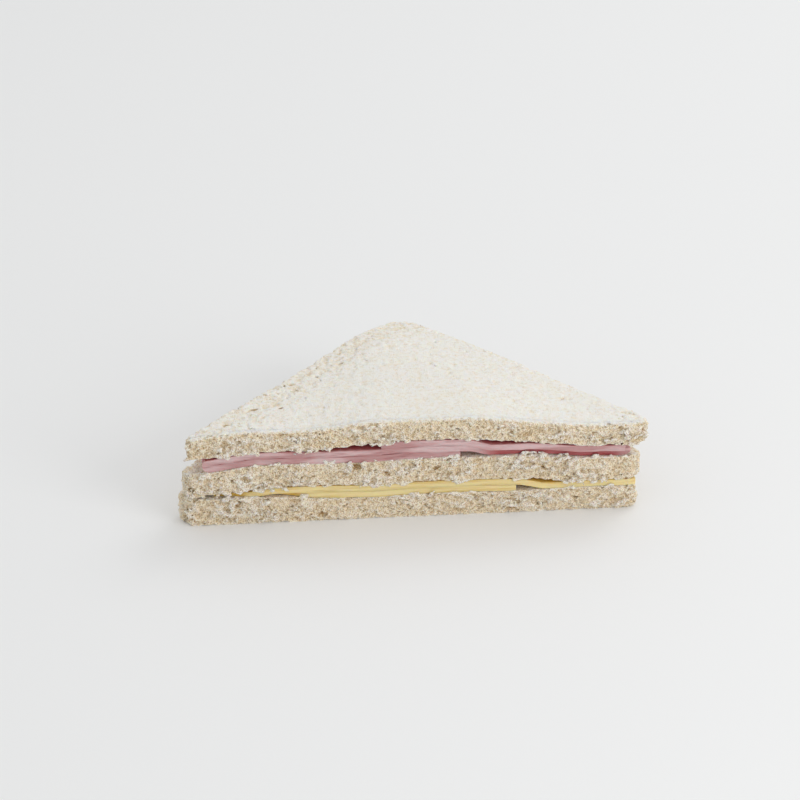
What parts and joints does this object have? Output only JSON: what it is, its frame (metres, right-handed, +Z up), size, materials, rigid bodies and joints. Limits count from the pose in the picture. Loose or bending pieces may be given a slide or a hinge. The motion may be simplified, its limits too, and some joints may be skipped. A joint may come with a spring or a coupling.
{
  "type": "triangular sandwich",
  "caption": "Crustless club sandwich cut corner to corner, with folded ham above the middle bread slice and sliced cheese below it.",
  "frame": {"origin": "middle of the footprint, on the surface that the sandwich stands on", "axes": "+X along the cut face, which looks towards -Y; +Y towards the square corner; +Z up through the layers"},
  "size_m": [0.1488, 0.0752, 0.0349],
  "materials": {
    "white_bread": "soft open crumb, matt",
    "cheese": "smooth and slightly waxy",
    "ham": "moist, satin"
  },
  "bodies": {
    "root": {"bottom_slice": "white_bread", "cheese_corner_piece": "cheese", "cheese_slice": "cheese", "middle_slice": "white_bread", "ham_left": "ham", "ham_right": "ham", "top_slice": "white_bread"}
  },
  "joints": []
}
